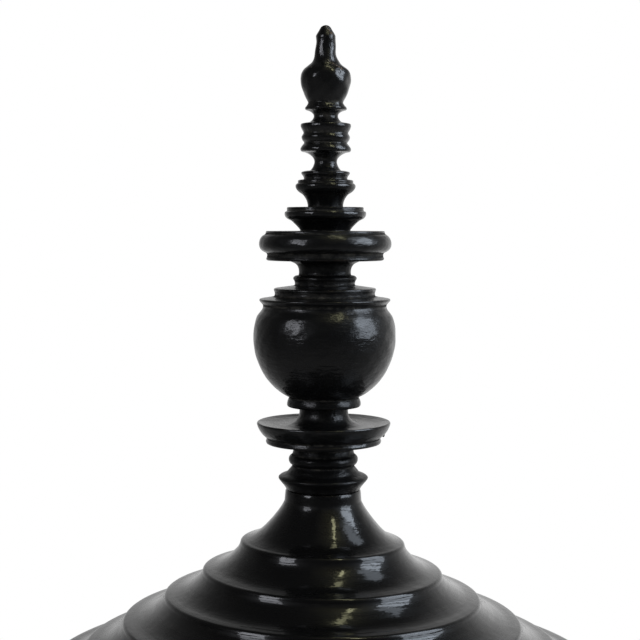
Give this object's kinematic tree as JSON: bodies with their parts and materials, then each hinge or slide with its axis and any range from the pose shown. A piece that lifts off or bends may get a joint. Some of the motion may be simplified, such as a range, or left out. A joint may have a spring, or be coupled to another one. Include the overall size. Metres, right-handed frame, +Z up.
{
  "type": "covered lacquer offering vessel",
  "caption": "Footed round offering bowl in black lacquer with a lift-out tray, a stepped flaring lid and a turned lift-out spire.",
  "frame": {"origin": "centre of the foot's underside, on the plane that the vessel stands on", "axes": "+Z up along the turning axis, +X and +Y any two square directions"},
  "size_m": [0.396, 0.396, 0.6872],
  "materials": {
    "black_lacquer": "deep black lacquer, glossy, with fine turning marks",
    "worn_lacquer": "black lacquer rubbed and chipped to brown on its edges",
    "red_lacquer": "dark red interior lacquer, satin"
  },
  "bodies": {
    "bowl": {"foot_hoop": "black_lacquer", "stand_skirt": "black_lacquer", "waist_bead": "black_lacquer", "stand_cup": "black_lacquer", "bowl_base_shell": "black_lacquer", "bowl_floor": "red_lacquer", "belly_hoop": "black_lacquer", "bowl_wall": "black_lacquer", "bowl_rim_hoop": "black_lacquer"},
    "tray": {"tray_flange": "black_lacquer", "tray_wall": "red_lacquer", "tray_floor": "red_lacquer"},
    "lid": {"lid_rim_hoop": "black_lacquer", "lid_tier_6": "black_lacquer", "lid_tier_5": "black_lacquer", "lid_tier_4": "black_lacquer", "lid_tier_3": "black_lacquer", "lid_tier_2": "black_lacquer", "lid_tier_1": "black_lacquer", "lid_crown": "black_lacquer"},
    "spire": {"spire_collar": "black_lacquer", "spire_dish": "black_lacquer", "spire_bulb": "black_lacquer", "bulb_cover": "black_lacquer", "spire_disc": "black_lacquer", "spire_upper_cup": "black_lacquer", "spire_small_cup": "black_lacquer", "spire_spindle": "black_lacquer", "spire_bud": "worn_lacquer"}
  },
  "joints": [
    {"name": "tray_lift", "type": "slide", "parent": "bowl", "child": "tray", "axis": [0, 0, 1], "range_m": [0, 0.1]},
    {"name": "lid_lift", "type": "slide", "parent": "tray", "child": "lid", "axis": [0, 0, 1], "range_m": [0, 0.2]},
    {"name": "spire_lift", "type": "slide", "parent": "lid", "child": "spire", "axis": [0, 0, 1], "range_m": [0, 0.06]}
  ]
}
